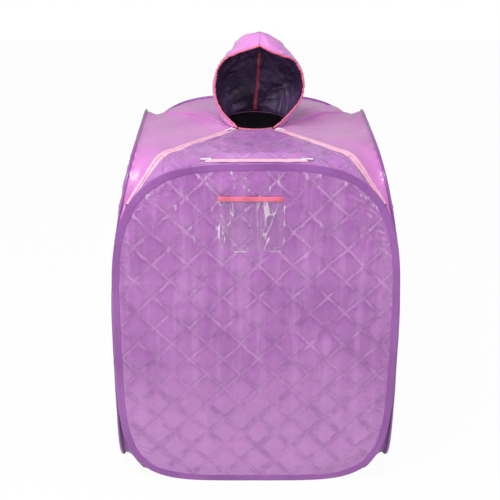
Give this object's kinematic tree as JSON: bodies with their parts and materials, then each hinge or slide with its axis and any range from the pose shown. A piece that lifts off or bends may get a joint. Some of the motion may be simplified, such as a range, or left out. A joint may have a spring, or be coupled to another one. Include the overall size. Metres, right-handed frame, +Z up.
{
  "type": "portable steam sauna",
  "caption": "Pop-up fabric tent for a seated steam bath, on spring hoops, with a neck hole, a hood, a zipped roof flap and a clear pocket.",
  "frame": {"origin": "middle of the floor sheet's underside, at the centre of the four hoops", "axes": "+Z up, +X to the right as seen from the front, +Y from the front wall to the back wall"},
  "size_m": [0.8, 0.7184, 1.2583],
  "materials": {
    "quilted_satin": "quilted satin polyester, purple",
    "sleeve_satin": "folded satin polyester, darker purple",
    "smooth_satin": "smooth satin polyester, pinkish purple",
    "coated_lining": "waterproof coated cloth, grey",
    "dark_lining": "thin crinkled lining, dark aubergine",
    "coral_binding": "woven binding tape, coral",
    "zip_tape": "zip tape with nylon coil, pale pink",
    "spring_steel": "blued spring steel strip",
    "white_plastic": "white painted zip fittings and moulded inlet",
    "elastic_rubber": "round elastic cord",
    "clear_film": "clear soft PVC film"
  },
  "bodies": {
    "tent": {"front_hoop_sleeve": "sleeve_satin", "back_hoop_sleeve": "sleeve_satin", "left_hoop_sleeve": "sleeve_satin", "right_hoop_sleeve": "sleeve_satin", "front_hoop_strip": "spring_steel", "back_hoop_strip": "spring_steel", "left_hoop_strip": "spring_steel", "right_hoop_strip": "spring_steel", "hoop_ferrules": "spring_steel", "front_panel": "quilted_satin", "back_panel": "quilted_satin", "left_panel": "quilted_satin", "right_panel": "quilted_satin", "front_lining": "coated_lining", "back_lining": "coated_lining", "left_lining": "coated_lining", "right_lining": "coated_lining", "floor_panel": "coated_lining", "rear_top_cover": "smooth_satin", "left_flap_corner": "quilted_satin", "right_flap_corner": "quilted_satin", "left_zip_rear_tape": "zip_tape", "right_zip_rear_tape": "zip_tape", "left_zip_corner_tape": "zip_tape", "right_zip_corner_tape": "zip_tape", "pocket_window": "clear_film", "pocket_mouth_binding": "coral_binding", "steam_inlet_flange": "white_plastic", "steam_inlet_nut": "white_plastic"},
    "flap": {"front_top_flap": "quilted_satin", "neck_binding": "coral_binding", "left_zip_flap_tape": "zip_tape", "right_zip_flap_tape": "zip_tape", "hand_zip_front_tape": "zip_tape", "hand_zip_rear_tape": "zip_tape"},
    "hood": {"hood_shell": "smooth_satin", "hood_lining": "dark_lining", "hood_seam_tape": "coral_binding", "hood_face_binding": "coral_binding", "hood_face_elastic": "elastic_rubber"},
    "left_slider": {"left_zip_slider": "white_plastic"},
    "right_slider": {"right_zip_slider": "white_plastic"},
    "left_pull": {"left_zip_pull": "white_plastic"},
    "right_pull": {"right_zip_pull": "white_plastic"},
    "hand_left_slider": {"hand_zip_left_slider": "white_plastic"},
    "hand_right_slider": {"hand_zip_right_slider": "white_plastic"},
    "hand_left_pull": {"hand_zip_left_pull": "white_plastic"},
    "hand_right_pull": {"hand_zip_right_pull": "white_plastic"}
  },
  "joints": [
    {"name": "flap_fold", "type": "hinge", "parent": "tent", "child": "flap", "pos_m": [0, -0.355, 0.987], "axis": [1, 0, 0], "range_deg": [0, 240]},
    {"name": "hood_tilt", "type": "hinge", "parent": "tent", "child": "hood", "pos_m": [0, 0.095, 1.001], "axis": [-1, 0, 0], "range_deg": [0, 50]},
    {"name": "left_zip_slide", "type": "slide", "parent": "flap", "child": "left_slider", "axis": [-0.734, -0.6763, -0.0628], "range_m": [0, 0.24]},
    {"name": "left_pull_swing", "type": "hinge", "parent": "left_slider", "child": "left_pull", "pos_m": [-0.06524, -0.10014, 1.00494], "axis": [-0.6776, 0.7354, 0], "range_deg": [0, 110]},
    {"name": "hand_left_slide", "type": "slide", "parent": "flap", "child": "hand_left_slider", "axis": [1, 0, 0], "range_m": [0, 0.095]},
    {"name": "hand_left_pull_swing", "type": "hinge", "parent": "hand_left_slider", "child": "hand_left_pull", "pos_m": [-0.122, -0.3272, 0.9885], "axis": [0, 1, 0], "range_deg": [0, 165]},
    {"name": "right_zip_slide", "type": "slide", "parent": "flap", "child": "right_slider", "axis": [0.734, -0.6763, -0.0628], "range_m": [0, 0.24]},
    {"name": "right_pull_swing", "type": "hinge", "parent": "right_slider", "child": "right_pull", "pos_m": [0.06524, -0.10014, 1.00494], "axis": [-0.6776, -0.7354, 0], "range_deg": [0, 110]},
    {"name": "hand_right_slide", "type": "slide", "parent": "flap", "child": "hand_right_slider", "axis": [-1, 0, 0], "range_m": [0, 0.095]},
    {"name": "hand_right_pull_swing", "type": "hinge", "parent": "hand_right_slider", "child": "hand_right_pull", "pos_m": [0.122, -0.3272, 0.9885], "axis": [0, -1, 0], "range_deg": [0, 165]}
  ]
}
